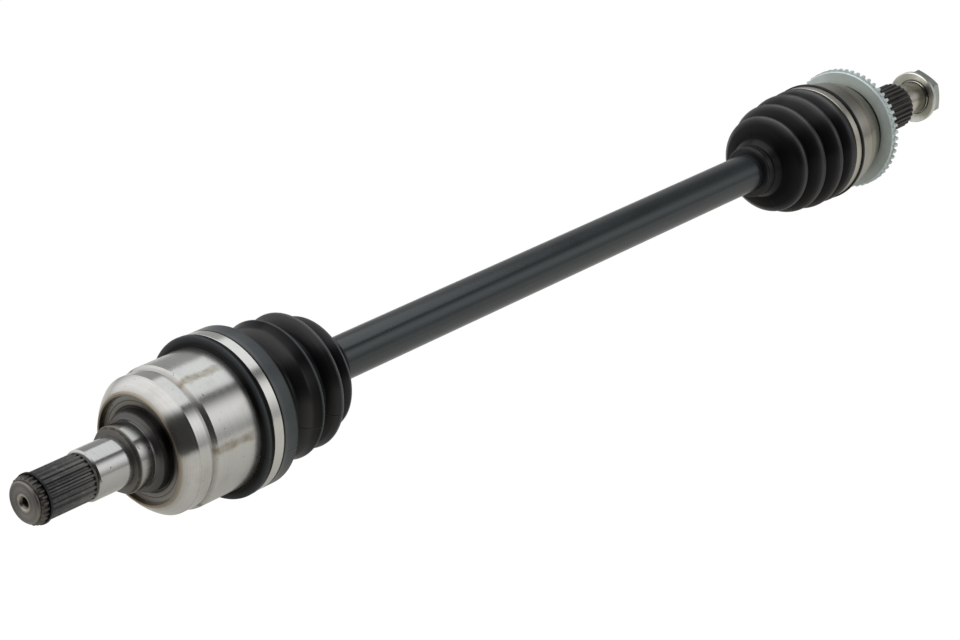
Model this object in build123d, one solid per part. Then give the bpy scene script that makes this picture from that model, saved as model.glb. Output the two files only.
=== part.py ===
from build123d import *
import math
import os

# Front-wheel-drive cv axle: a tripod plunging joint inboard, a ball-and-cage fixed joint outboard.
#
# Millimetres. +Y runs from the inboard end (gearbox) to the outboard end (wheel hub), +Z is up, and the
# origin is on the shaft line at mid-length. Stations along the shaft are measured from the inboard end
# face and moved into the frame by at(). A line or a profile is a list of (station, radius) pairs.

os.makedirs("parts", exist_ok=True)

# ---- overall
LENGTH = 858.0            # inboard end face to outboard end of the threaded stub
BAR_R = 13.0              # main bar, 26 mm across
BAR_NECK_R = 11.6         # where the bar is drawn down towards each joint
BAR_COLLAR_R = 12.4
BAR_TAPER_IN = (202.0, 209.0)
BAR_TAPER_OUT = (649.0, 656.0)
FIT = 0.05                # radial gap of every turning or sliding fit

# ---- inboard stub, as stations from the inboard end face
IN_TIP_R = 11.6
IN_SPLINE_R = 13.2
IN_SPLINE_ROOT_R = 12.2
IN_SPLINE_TEETH = 25
IN_SPLINE_START = 1.6
IN_SPLINE_END = 37.0
IN_CLIP_AT = 6.6
IN_CLIP_WIDTH = 1.6
IN_CLIP_R = 14.1
IN_COLLAR_END = 37.8
IN_UNDERCUT_R = 12.8
IN_JOURNAL_START = 38.6
IN_JOURNAL_R = 14.3
IN_JOURNAL_END = 61.0
IN_SEAL_START = 63.2
IN_SEAL_R = 18.8
IN_SEAL_END = 72.0
IN_BASE_R = 22.5
IN_BASE_AT = 75.4
IN_RIM_AT = 77.0
IN_RIM_R = 31.0
IN_RECESS_FLOOR = 80.0
CENTRE_HOLE_R = 2.6
CENTRE_HOLE_DEPTH = 9.0

# ---- inboard joint (tripod), as stations and radii
TRIPOD_AT = 118.0
TULIP_SHOULDER_AT = 85.6
TULIP_BAND_R = 39.1
TULIP_BAND_END = 93.0
TULIP_GROOVE_R = 38.2
TULIP_BARREL_AT = 96.4
TULIP_R = 40.5
TULIP_MOUTH = 147.0
TULIP_FLOOR = 85.0
TULIP_CORE_R = 17.2
TULIP_CORE_END = 124.0
TULIP_MOUTH_R = 25.0
TULIP_SHOULDER_MIDDLE = (80.9, 35.5)   # a point half-way round the convex shoulder
TRACK_SEAT = 33.0         # distance of the flat track roof from the axis
TRUNNIONS = 3
TRUNNION_PITCH_R = 22.0
TRUNNION_R = 7.5
TRUNNION_TIP = 29.2
ROLLER_R = 15.6
ROLLER_WIDTH = 11.0
ROLLER_PLAY = 1.0         # side play of a roller in its track, which takes up the spider's orbit
NEEDLE_R = 1.1
NEEDLE_LENGTH = 10.4
NEEDLE_GAP = 0.03
NEEDLES = 23
CLIP_TO_TIP = 1.3         # from a trunnion's tip to the middle of its roller clip
SPIDER_R = 15.0
SPIDER_HALF_WIDTH = 9.0
SHAFT_SPLINE_R = 11.8
SHAFT_SPLINE_ROOT_R = 11.0
SHAFT_SPLINE_TEETH = 24
CLIP_WIDTH = 1.5
CLIP_R = 13.2

# ---- outboard joint (ball and cage)
BALL_JOINT_AT = 717.0
BALL_R = 8.2
BALL_PITCH_R = 26.0
BALL_COUNT = 6
BALL_PLAY = 0.95          # play of a ball in its track, which takes up its shift round the joint
RACE_R = 24.0
RACE_HALF_WIDTH = 10.0
CAGE_IN_R = 24.1
CAGE_OUT_R = 30.0
CAGE_HALF_WIDTH = 11.5
WINDOW_WIDTH = 16.5
WINDOW_LENGTH = 19.0
BELL_IN_R = 30.1
TRACK_TO_MOUTH = 52.0     # degrees of track arc from the middle plane towards the bar
TRACK_TO_FLOOR = 42.0     # and towards the floor of the bell
BELL_MOUTH = 703.0
BELL_MOUTH_R = 31.0
BELL_SEAT_R = 37.4
BELL_RING_AT = 714.2
BELL_RING_R = 38.6
BELL_RING_END = 727.0
BELL_NECK_AT = 746.9
BELL_NECK_R = 31.6
BELL_GROOVE_R = 30.4
BELL_CURVE_MIDDLE = (739.0, 36.0)      # a point half-way down the bell's rounded back
TONE_SEAT_R = 31.0
TONE_AT = 747.6
TONE_FLANGE = 1.8
TONE_END = 754.2
TONE_EDGE_R = 41.7
TONE_ROOT_R = 40.4
TONE_TIP_R = 42.6
TONE_BAND_IN_R = 37.4
TONE_TEETH = 55
HUB_SEAT_AT = 760.0
HUB_SEAT_R = 30.2
PILOT_R = 17.6
PILOT_END = 766.0
OUT_SPLINE_R = 16.5
OUT_SPLINE_ROOT_R = 15.2
OUT_SPLINE_TEETH = 28
OUT_SPLINE_END = 818.0
SHANK_R = 11.6
THREAD_START = 843.6
THREAD_R = 12.0           # M24 x 1.5, drawn at its outside diameter
WASHER_AT = 841.2
WASHER_R = 18.7
WASHER_BORE_R = 12.7
WASHER_THICKNESS = 4.0
WASHER_DISH_DEPTH = 2.6   # the inboard face is one shallow cone
NUT_ACROSS_FLATS = 32.0
NUT_END = 853.6
NUT_TURNED_BY = 24.0      # degrees, how the hexagon happens to stand

# ---- boots and clamps: (station, radius) down the middle of the rubber wall
BOOT_WALL = 2.4
IN_BOOT_LINE = [
    (142.0, 44.7), (146.0, 44.8), (149.2, 44.1), (152.0, 41.6), (156.6, 36.2), (159.6, 33.0), (162.0, 32.2),
    (164.6, 33.8), (168.0, 36.8), (172.0, 38.6), (175.2, 38.9), (177.8, 36.8), (181.4, 32.2), (183.6, 31.0),
    (185.8, 33.0), (188.4, 36.6), (190.8, 38.3), (192.8, 37.2), (195.8, 31.2), (198.0, 28.8), (200.2, 30.2),
    (203.0, 32.2), (204.8, 32.4), (206.6, 30.4), (208.2, 25.0), (209.6, 19.6), (212.0, 16.0),
]
IN_BOOT_LIP = 127.8
IN_BOOT_SEAT = (132.4, 139.0)
IN_CUFF_END = 141.2       # the cuff on the housing is a piece of its own up to here
IN_SMALL_BAND_AT = 214.2
IN_BOOT_SMALL_END = 221.6
IN_BAND_R = 46.1
IN_BAND_SEAT_R = 45.2
OUT_BOOT_LINE = [
    (646.4, 20.6), (648.0, 25.2), (650.0, 29.6), (652.6, 31.9), (655.6, 31.6), (658.0, 29.4),
    (660.6, 28.8), (663.0, 31.4), (665.4, 35.8), (668.2, 37.1), (671.4, 36.2), (674.0, 33.2), (676.6, 32.2),
    (679.4, 34.2), (682.4, 38.0), (685.6, 39.2), (688.8, 38.2), (691.6, 35.6), (694.0, 34.8), (696.4, 36.2),
    (698.8, 38.2), (701.4, 38.8),
]
OUT_BOOT_SMALL_END = 631.4
OUT_SMALL_BAND_AT = 632.8
OUT_SHOULDER_R = 20.3      # raised ring of rubber between the small band and the first convolution
OUT_SHOULDER = (638.7, 643.6)
OUT_BOOT_SEAT = (705.0, 710.8)
OUT_BOOT_LIP = 713.8
OUT_BAND_R = 40.2
OUT_BAND_SEAT_R = 39.4
SMALL_COLLAR_R = 17.2
SMALL_BAND_SEAT_R = 16.4
SMALL_BAND_R = 17.5
SMALL_BAND_WIDTH = 5.0
BAND_TAIL_AT = 270        # degrees round from +Z to the middle of a wide band's overlapping tail
BAND_TAIL_HEIGHT = 0.5


def at(station):
    """Y of a station measured from the inboard end face."""
    return station - LENGTH / 2


def arc_through(start, middle, end):
    """An arc in the profile plane through three (station, radius) points."""
    return ThreePointArc(*[(radius, at(station)) for station, radius in (start, middle, end)])


def turned(points):
    """A solid of revolution about the shaft line from (station, radius) corners."""
    corners = [(radius, at(station)) for station, radius in points]
    return revolve(make_face(Polyline(*corners, close=True)), Axis.Y)


def ring(start, end, inner, outer, edge=0.0):
    """A plain ring between two stations, with its outside corners broken by edge."""
    if not edge:
        return turned([(start, inner), (end, inner), (end, outer), (start, outer)])
    return turned([(start, inner), (end, inner), (end, outer - edge), (end - edge, outer),
                   (start + edge, outer), (start, outer - edge)])


def about_axis(shape, degrees):
    """The shape turned about the shaft line."""
    return Rot(0, degrees, 0) * shape


def toothed(start, end, tip, root, teeth, tip_share=0.3, root_share=0.3):
    """A toothed prism between two stations; the shares are of one tooth pitch."""
    pitch = 2 * math.pi / teeth
    corners = []
    for tooth in range(teeth):
        middle = tooth * pitch
        for radius, share in ((root, -0.5 + root_share / 2), (tip, -tip_share / 2),
                              (tip, tip_share / 2), (root, 0.5 - root_share / 2)):
            angle = middle + share * pitch
            corners.append((radius * math.sin(angle), radius * math.cos(angle)))
    plane = Plane(origin=(0, at(start), 0), x_dir=(1, 0, 0), z_dir=(0, 1, 0))
    return extrude(plane * make_face(Polyline(*corners, close=True)), end - start)


def split_ring(start, end, inner, outer, gap_degrees=0.0, gap=0.0):
    """A ring with a gap cut out of it, as a circlip has."""
    whole = ring(start, end, inner, outer)
    cutter = Pos(0, at((start + end) / 2), outer) * Box(gap, 2 * (end - start), 2 * outer)
    return whole - about_axis(cutter, gap_degrees)


def boot_wall(line, first, last):
    """A bellows: a wall of even thickness along line, closed by the end corner lists first and last."""
    outside = []
    inside = []
    for index, (station, radius) in enumerate(line):
        before = line[max(index - 1, 0)]
        after = line[min(index + 1, len(line) - 1)]
        along = after[0] - before[0]
        out = after[1] - before[1]
        size = math.hypot(along, out)
        shift = BOOT_WALL / 2
        outside.append((station - shift * out / size, radius + shift * along / size))
        inside.append((station + shift * out / size, radius - shift * along / size))
    return turned(first + outside + last + inside[::-1])


def band(seat, inner, outer):
    """A clamp band with a thin overlapping tail wrapped over a sixth of its round."""
    start, end = seat
    body = ring(start, end, inner, outer, 0.25)
    tail = ring(start + 0.8, end - 0.8, outer - 0.1, outer + BAND_TAIL_HEIGHT, 0.2)
    reach = 2 * outer
    half = reach * math.tan(math.radians(30))
    plane = Plane(origin=(0, at(start) - 1, 0), x_dir=(1, 0, 0), z_dir=(0, 1, 0))
    triangle = make_face(Polyline((0, 0), (-half, -reach), (half, -reach), close=True))
    sector = extrude(plane * triangle, end - start + 2)
    return body + (tail & about_axis(sector, BAND_TAIL_AT))


def small_band(start):
    return ring(start, start + SMALL_BAND_WIDTH, SMALL_BAND_SEAT_R, SMALL_BAND_R, 0.3)


# ---------------------------------------------------------------- inboard joint housing and stub
def inner_housing():
    stub = turned([
        (IN_SPLINE_END, 0), (IN_SPLINE_END, IN_SPLINE_R), (IN_COLLAR_END, IN_SPLINE_R),
        (IN_COLLAR_END, IN_UNDERCUT_R), (IN_JOURNAL_START, IN_UNDERCUT_R),
        (IN_JOURNAL_START + 0.8, IN_JOURNAL_R), (IN_JOURNAL_END, IN_JOURNAL_R),
        (IN_JOURNAL_END, IN_SEAL_R - 1.4), (IN_SEAL_START, IN_SEAL_R), (IN_SEAL_END, IN_SEAL_R),
        (IN_SEAL_END + 1.0, IN_SEAL_R + 0.3), (IN_SEAL_END + 2.2, IN_SEAL_R + 1.3),
        (IN_BASE_AT, IN_BASE_R - 0.8), (IN_BASE_AT, IN_BASE_R), (IN_RECESS_FLOOR, IN_BASE_R + 0.6),
        (IN_RECESS_FLOOR, 0),
    ])
    tip = toothed(IN_SPLINE_START, IN_SPLINE_END, IN_SPLINE_R, IN_SPLINE_ROOT_R, IN_SPLINE_TEETH)
    tip_limit = turned([
        (IN_SPLINE_START, 0), (IN_SPLINE_START, IN_TIP_R + 0.4), (IN_SPLINE_START + 1.2, IN_SPLINE_R + 0.1),
        (IN_SPLINE_END, IN_SPLINE_R + 0.1), (IN_SPLINE_END, 0),
    ])
    nose = turned([(0, 0), (0, IN_TIP_R - 0.6), (0.6, IN_TIP_R), (IN_SPLINE_START, IN_TIP_R),
                   (IN_SPLINE_START, 0)])
    clip_groove = ring(IN_CLIP_AT - IN_CLIP_WIDTH / 2, IN_CLIP_AT + IN_CLIP_WIDTH / 2,
                       IN_SPLINE_ROOT_R - 0.7, IN_SPLINE_R + 2)
    centre_hole = turned([(-1, 0), (-1, CENTRE_HOLE_R + 2.4), (1.4, CENTRE_HOLE_R),
                          (CENTRE_HOLE_DEPTH - 2, CENTRE_HOLE_R), (CENTRE_HOLE_DEPTH, 0)])

    rim_outer = (IN_RIM_AT + 1.2, IN_RIM_R + 1.6)
    shoulder_end = (TULIP_SHOULDER_AT, TULIP_BAND_R)
    outline = Polyline(*[(radius, at(station)) for station, radius in [
        rim_outer, (IN_RIM_AT, IN_RIM_R + 0.6), (IN_RIM_AT, IN_RIM_R - 0.6),
        (IN_RECESS_FLOOR, IN_RIM_R - 1.4), (IN_RECESS_FLOOR, 0), (TULIP_MOUTH, 0),
        (TULIP_MOUTH, TULIP_R - 0.8), (TULIP_MOUTH - 0.8, TULIP_R), (TULIP_BARREL_AT + 1.0, TULIP_R),
        (TULIP_BARREL_AT, TULIP_R - 0.9), (TULIP_BARREL_AT - 1.2, TULIP_GROOVE_R),
        (TULIP_BAND_END + 0.8, TULIP_GROOVE_R), (TULIP_BAND_END, TULIP_BAND_R), shoulder_end]])
    barrel = revolve(make_face(outline + arc_through(shoulder_end, TULIP_SHOULDER_MIDDLE, rim_outer)), Axis.Y)

    length = TULIP_MOUTH - TULIP_FLOOR + 2
    middle = at(TULIP_FLOOR) + length / 2
    cavity = turned([(TULIP_FLOOR, 0), (TULIP_FLOOR, TULIP_CORE_R), (TULIP_CORE_END, TULIP_CORE_R),
                     (TULIP_MOUTH + 1, TULIP_MOUTH_R), (TULIP_MOUTH + 1, 0)])
    bore = Pos(0, middle, TRUNNION_PITCH_R) * Rot(90, 0, 0) * Cylinder(ROLLER_R + ROLLER_PLAY, length)
    roof = Pos(0, middle, TRACK_SEAT / 2) * Box(60, length, TRACK_SEAT)
    track = bore & roof
    for index in range(TRUNNIONS):
        cavity += about_axis(track, index * 360 / TRUNNIONS)
    return (stub + (tip & tip_limit) + nose + barrel) - clip_groove - centre_hole - cavity


def inner_circlip():
    return split_ring(IN_CLIP_AT - 0.6, IN_CLIP_AT + 0.6, IN_SPLINE_ROOT_R - 0.6, IN_CLIP_R, 200, 4.0)


# ---------------------------------------------------------------- tripod
def trunnion_frame(index):
    """Places a shape built on +Z at the joint centre onto trunnion number index."""
    return Pos(0, at(TRIPOD_AT), 0) * Rot(0, index * 360 / TRUNNIONS, 0)


def tripod_spider():
    start = TRIPOD_AT - SPIDER_HALF_WIDTH
    end = TRIPOD_AT + SPIDER_HALF_WIDTH
    hub = turned([(start, 0), (start, SPIDER_R - 1.6), (start + 3, SPIDER_R), (end - 3, SPIDER_R),
                  (end, SPIDER_R - 1.6), (end, 0)])
    for index in range(TRUNNIONS):
        pin = Pos(0, 0, TRUNNION_TIP / 2) * Cylinder(TRUNNION_R, TRUNNION_TIP)
        groove = Cylinder(TRUNNION_R + 1, 1.1) - Cylinder(TRUNNION_R - 0.6, 1.1)
        hub += trunnion_frame(index) * (pin - Pos(0, 0, TRUNNION_TIP - CLIP_TO_TIP) * groove)
    bore = toothed(start - 1, end + 1, SHAFT_SPLINE_R + FIT, SHAFT_SPLINE_ROOT_R + FIT, SHAFT_SPLINE_TEETH)
    return hub - bore


def roller(index):
    bore = TRUNNION_R + 2 * NEEDLE_R + 2 * NEEDLE_GAP
    body = Sphere(ROLLER_R) & Cylinder(ROLLER_R + 1, ROLLER_WIDTH)
    return trunnion_frame(index) * Pos(0, 0, TRUNNION_PITCH_R) * (body - Cylinder(bore, ROLLER_WIDTH + 2))


def needle_set(index):
    pitch = TRUNNION_R + NEEDLE_GAP + NEEDLE_R
    needles = []
    for number in range(NEEDLES):
        angle = number * 360 / NEEDLES
        place = Pos(0, 0, TRUNNION_PITCH_R) * Rot(0, 0, angle) * Pos(pitch, 0, 0)
        needles.append(trunnion_frame(index) * place * Cylinder(NEEDLE_R, NEEDLE_LENGTH))
    return Compound(needles)


def roller_clip(index):
    ring_solid = Cylinder(TRUNNION_R + 1.9, 0.9) - Cylinder(TRUNNION_R - 0.5, 1)
    gap = Pos(TRUNNION_R, 0, 0) * Box(8, 3, 2)
    return trunnion_frame(index) * Pos(0, 0, TRUNNION_TIP - CLIP_TO_TIP) * (ring_solid - gap)


# ---------------------------------------------------------------- bar
def bar_shaft():
    inner_end = TRIPOD_AT - SPIDER_HALF_WIDTH - 4.5
    inner_spline_end = TRIPOD_AT + SPIDER_HALF_WIDTH + 1.5
    outer_spline_start = BALL_JOINT_AT - RACE_HALF_WIDTH - 1.5
    outer_end = BALL_JOINT_AT + RACE_HALF_WIDTH + 4.5
    body = turned([
        (inner_spline_end, 0), (inner_spline_end, BAR_COLLAR_R), (inner_spline_end + 1.5, BAR_COLLAR_R),
        (inner_spline_end + 2.5, BAR_NECK_R), (BAR_TAPER_IN[0], BAR_NECK_R), (BAR_TAPER_IN[1], BAR_R),
        (BAR_TAPER_OUT[0], BAR_R), (BAR_TAPER_OUT[1], BAR_NECK_R), (outer_spline_start - 2.5, BAR_NECK_R),
        (outer_spline_start - 1.5, BAR_COLLAR_R), (outer_spline_start, BAR_COLLAR_R), (outer_spline_start, 0),
    ])
    ends = toothed(inner_end, inner_spline_end, SHAFT_SPLINE_R, SHAFT_SPLINE_ROOT_R, SHAFT_SPLINE_TEETH)
    ends += toothed(outer_spline_start, outer_end, SHAFT_SPLINE_R, SHAFT_SPLINE_ROOT_R, SHAFT_SPLINE_TEETH)
    for place in clip_stations():
        half = CLIP_WIDTH / 2 + 0.1
        ends -= ring(place - half, place + half, SHAFT_SPLINE_ROOT_R - 0.8, SHAFT_SPLINE_R + 2)
    return body + ends


def clip_stations():
    """Where the two circlips sit that hold the spider and the inner race on the bar."""
    beyond = CLIP_WIDTH / 2 + 0.2
    return (TRIPOD_AT - SPIDER_HALF_WIDTH - beyond, BALL_JOINT_AT + RACE_HALF_WIDTH + beyond)


def shaft_clip(place):
    half = CLIP_WIDTH / 2
    return split_ring(place - half, place + half, SHAFT_SPLINE_ROOT_R - 0.7, CLIP_R, 0, 5.0)


# ---------------------------------------------------------------- ball joint
def ball_tracks(play):
    """The six tracks, each a round-section arc about the joint centre, open past the bell's mouth."""
    sweep = TRACK_TO_MOUTH + TRACK_TO_FLOOR
    tracks = []
    for index in range(BALL_COUNT):
        section = Plane.XZ * Pos(BALL_PITCH_R, 0) * Circle(BALL_R + play)
        arc = Rot(0, 0, -TRACK_TO_MOUTH) * revolve(section, Axis.Z, sweep)
        tracks.append(Pos(0, at(BALL_JOINT_AT), 0) * Rot(0, index * 360 / BALL_COUNT - 90, 0) * arc)
    return tracks


def ball_place(index):
    angle = math.radians(index * 360 / BALL_COUNT)
    return Pos(BALL_PITCH_R * math.sin(angle), at(BALL_JOINT_AT), BALL_PITCH_R * math.cos(angle))


def ball(index):
    return ball_place(index) * Sphere(BALL_R)


def outer_inner_race(tracks):
    start = BALL_JOINT_AT - RACE_HALF_WIDTH
    end = BALL_JOINT_AT + RACE_HALF_WIDTH
    body = Pos(0, at(BALL_JOINT_AT), 0) * Sphere(RACE_R) & ring(start, end, 0, RACE_R + 2)
    bore = toothed(start - 1, end + 1, SHAFT_SPLINE_R + FIT, SHAFT_SPLINE_ROOT_R + FIT, SHAFT_SPLINE_TEETH)
    body -= bore
    for track in tracks:
        body -= track
    return body


def outer_cage():
    centre = Pos(0, at(BALL_JOINT_AT), 0)
    start = BALL_JOINT_AT - CAGE_HALF_WIDTH
    end = BALL_JOINT_AT + CAGE_HALF_WIDTH
    shell = (centre * (Sphere(CAGE_OUT_R) - Sphere(CAGE_IN_R))) & ring(start, end, 0, CAGE_OUT_R + 2)
    window = Box(WINDOW_LENGTH, WINDOW_WIDTH, 20)
    for index in range(BALL_COUNT):
        shell -= centre * Rot(0, index * 360 / BALL_COUNT, 0) * Pos(0, 0, BALL_PITCH_R) * window
    return shell


def outer_housing(tracks):
    neck = (BELL_NECK_AT, BELL_NECK_R)
    flank = (BELL_RING_END + 1.2, BELL_RING_R - 0.9)
    outline = Polyline(*[(radius, at(station)) for station, radius in [
        neck, (BELL_NECK_AT, BELL_GROOVE_R), (TONE_AT - 0.3, BELL_GROOVE_R), (TONE_AT, TONE_SEAT_R),
        (HUB_SEAT_AT - 1, TONE_SEAT_R), (HUB_SEAT_AT, HUB_SEAT_R), (HUB_SEAT_AT, PILOT_R),
        (PILOT_END, PILOT_R), (PILOT_END + 2, OUT_SPLINE_ROOT_R), (PILOT_END + 2, 0), (BELL_MOUTH, 0),
        (BELL_MOUTH, BELL_SEAT_R),
        (BELL_RING_AT, BELL_SEAT_R), (BELL_RING_AT, BELL_RING_R - 0.5), (BELL_RING_AT + 0.5, BELL_RING_R),
        (BELL_RING_END, BELL_RING_R), (BELL_RING_END + 0.4, BELL_RING_R - 0.9), flank]])
    bell = revolve(make_face(outline + arc_through(flank, BELL_CURVE_MIDDLE, neck)), Axis.Y)
    stub = toothed(PILOT_END + 1, OUT_SPLINE_END, OUT_SPLINE_R, OUT_SPLINE_ROOT_R, OUT_SPLINE_TEETH)
    stub &= turned([(PILOT_END + 1, 0), (PILOT_END + 1, OUT_SPLINE_R + 1),
                    (OUT_SPLINE_END - 1.5, OUT_SPLINE_R + 0.1), (OUT_SPLINE_END, OUT_SPLINE_ROOT_R - 0.2),
                    (OUT_SPLINE_END, 0)])
    shank = turned([
        (OUT_SPLINE_END - 1, 0), (OUT_SPLINE_END - 1, OUT_SPLINE_ROOT_R - 0.6),
        (OUT_SPLINE_END, OUT_SPLINE_ROOT_R - 0.6), (OUT_SPLINE_END + 2.6, SHANK_R),
        (THREAD_START - 0.4, SHANK_R), (THREAD_START, THREAD_R), (LENGTH - 1.2, THREAD_R),
        (LENGTH, THREAD_R - 1.2), (LENGTH, 0),
    ])
    centre_hole = turned([(LENGTH + 1, 0), (LENGTH + 1, CENTRE_HOLE_R + 2.4), (LENGTH - 1.4, CENTRE_HOLE_R),
                          (LENGTH - CENTRE_HOLE_DEPTH + 2, CENTRE_HOLE_R), (LENGTH - CENTRE_HOLE_DEPTH, 0)])
    mouth = turned([(BELL_MOUTH - 1, 0), (BELL_MOUTH - 1, BELL_MOUTH_R + 0.6), (BELL_MOUTH + 7, 28.0),
                    (BELL_MOUTH + 7, 0)])
    cavity = Pos(0, at(BALL_JOINT_AT), 0) * Sphere(BELL_IN_R)
    body = (bell + stub + shank) - cavity - mouth - centre_hole
    for track in tracks:
        body -= track
    return body


def tone_ring():
    flange_end = TONE_AT + TONE_FLANGE
    web = turned([
        (TONE_AT, TONE_SEAT_R), (TONE_AT, TONE_EDGE_R - 0.5), (TONE_AT + 0.5, TONE_EDGE_R),
        (flange_end, TONE_EDGE_R), (flange_end, TONE_BAND_IN_R), (flange_end, TONE_SEAT_R + 3.0),
        (TONE_END, TONE_SEAT_R + 3.0), (TONE_END, TONE_SEAT_R),
    ])
    teeth = toothed(flange_end, TONE_END, TONE_TIP_R, TONE_ROOT_R, TONE_TEETH, 0.36, 0.4)
    return web + (teeth - ring(flange_end - 1, TONE_END + 1, 0, TONE_BAND_IN_R))


# ---------------------------------------------------------------- hub nut and washer
def axle_washer():
    end = WASHER_AT + WASHER_THICKNESS
    return turned([
        (WASHER_AT + WASHER_DISH_DEPTH, WASHER_BORE_R),
        (WASHER_AT, WASHER_R - 0.6), (WASHER_AT + 0.6, WASHER_R),
        (end - 0.6, WASHER_R), (end, WASHER_R - 0.6), (end, WASHER_BORE_R),
    ])


def axle_nut():
    start = WASHER_AT + WASHER_THICKNESS + 0.1
    plane = Plane(origin=(0, at(start), 0), x_dir=(1, 0, 0), z_dir=(0, 1, 0))
    outline = plane * Rot(0, 0, NUT_TURNED_BY) * RegularPolygon(NUT_ACROSS_FLATS / 2, 6, major_radius=False)
    hexagon = extrude(outline, NUT_END - start)
    corner = NUT_ACROSS_FLATS / math.sqrt(3)
    limit = turned([
        (start, THREAD_R + FIT), (start, NUT_ACROSS_FLATS / 2), (start + 1.6, corner + 0.1),
        (NUT_END - 1.6, corner + 0.1), (NUT_END, NUT_ACROSS_FLATS / 2), (NUT_END, THREAD_R + 1.0),
        (NUT_END - 1.0, THREAD_R + FIT),
    ])
    return hexagon & limit


# ---------------------------------------------------------------- boots and bands
def inner_boot_rubber():
    """The whole inboard boot, from its lip on the housing to its collar on the bar."""
    seat_start, seat_end = IN_BOOT_SEAT
    band_end = IN_SMALL_BAND_AT + SMALL_BAND_WIDTH
    inside = TULIP_R + FIT
    first = [
        (IN_BOOT_LIP, inside), (IN_BOOT_LIP, TULIP_R + 2.4), (IN_BOOT_LIP + 0.9, IN_BAND_R - 0.6),
        (IN_BOOT_LIP + 1.9, IN_BAND_R + 0.4), (seat_start - 0.9, IN_BAND_R + 0.2),
        (seat_start, IN_BAND_SEAT_R), (seat_end, IN_BAND_SEAT_R), (seat_end + 0.8, IN_BAND_R),
    ]
    last = [
        (IN_SMALL_BAND_AT - 0.6, SMALL_BAND_SEAT_R), (band_end + 0.3, SMALL_BAND_SEAT_R),
        (band_end + 0.7, SMALL_COLLAR_R),
        (IN_BOOT_SMALL_END - 1, SMALL_COLLAR_R),
        (IN_BOOT_SMALL_END, SMALL_COLLAR_R - 1), (IN_BOOT_SMALL_END, BAR_R + FIT),
        (IN_BOOT_LINE[-1][0] - 0.8, BAR_R + FIT),
    ]
    body = boot_wall(IN_BOOT_LINE, first, last)
    plug = ring(TULIP_MOUTH - 8, TULIP_MOUTH + 0.2, 20, TULIP_R + FIT)
    return body - plug


def inner_boot_cuff():
    return inner_boot_rubber() & ring(IN_BOOT_LIP - 1, IN_CUFF_END, 0, 2 * TULIP_R)


def inner_boot():
    return inner_boot_rubber() & ring(IN_CUFF_END, IN_BOOT_SMALL_END + 1, 0, 2 * TULIP_R)


def outer_boot():
    seat_start, seat_end = OUT_BOOT_SEAT
    band_end = OUT_SMALL_BAND_AT + SMALL_BAND_WIDTH
    inside = BELL_SEAT_R + FIT
    shoulder_start, shoulder_end = OUT_SHOULDER
    first = [
        (shoulder_end, BAR_R + FIT), (OUT_BOOT_SMALL_END, BAR_R + FIT),
        (OUT_BOOT_SMALL_END, SMALL_COLLAR_R - 0.8), (OUT_BOOT_SMALL_END + 0.5, SMALL_COLLAR_R),
        (OUT_SMALL_BAND_AT - 0.4, SMALL_COLLAR_R), (OUT_SMALL_BAND_AT - 0.2, SMALL_BAND_SEAT_R),
        (band_end + 0.3, SMALL_BAND_SEAT_R), (shoulder_start, SMALL_COLLAR_R + 1.0),
        (shoulder_end - 0.8, OUT_SHOULDER_R), (shoulder_end, OUT_SHOULDER_R - 0.1),
        (shoulder_end + 0.6, OUT_SHOULDER_R - 1.1), (shoulder_end + 1.2, OUT_SHOULDER_R - 1.1),
    ]
    last = [
        (seat_start - 0.6, OUT_BAND_SEAT_R), (seat_end, OUT_BAND_SEAT_R),
        (seat_end + 0.6, OUT_BAND_R + 0.8), (seat_end + 1.4, OUT_BAND_R + 1.1),
        (OUT_BOOT_LIP - 0.6, OUT_BAND_R + 0.8), (OUT_BOOT_LIP, OUT_BAND_R),
        (OUT_BOOT_LIP, inside), (BELL_MOUTH - 0.4, inside),
    ]
    return boot_wall(OUT_BOOT_LINE, first, last)


def save(shape, name):
    export_step(shape, f"parts/{name}.step")


race_tracks = ball_tracks(BALL_PLAY)
save(inner_housing(), "inner_housing")
save(inner_circlip(), "inner_circlip")
save(tripod_spider(), "tripod_spider")
for number in range(TRUNNIONS):
    save(roller(number), f"inner_roller_{number + 1}")
    save(needle_set(number), f"needle_set_{number + 1}")
    save(roller_clip(number), f"roller_clip_{number + 1}")
save(bar_shaft(), "bar_shaft")
for name, station in zip(("spider_circlip", "race_circlip"), clip_stations()):
    save(shaft_clip(station), name)
save(outer_inner_race(race_tracks), "outer_inner_race")
save(outer_cage(), "outer_cage")
save(ball(0), "outer_ball_top")
save(ball(3), "outer_ball_bottom")
save(Compound([ball(number) for number in (1, 2, 4, 5)]), "outer_side_balls")
save(outer_housing(race_tracks), "outer_housing")
save(tone_ring(), "tone_ring")
save(axle_washer(), "axle_washer")
save(axle_nut(), "axle_nut")
save(inner_boot_cuff(), "inner_boot_cuff")
save(inner_boot(), "inner_boot")
save(outer_boot(), "outer_boot")
save(band(IN_BOOT_SEAT, IN_BAND_SEAT_R, IN_BAND_R), "inner_boot_clamp_large")
save(band(OUT_BOOT_SEAT, OUT_BAND_SEAT_R, OUT_BAND_R), "outer_boot_clamp_large")
save(small_band(IN_SMALL_BAND_AT), "inner_boot_clamp_small")
save(small_band(OUT_SMALL_BAND_AT), "outer_boot_clamp_small")
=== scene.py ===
"""Looks of the cv axle: camera, studio, procedural metals and rubber, and the two bellows boots."""
import math

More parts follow.
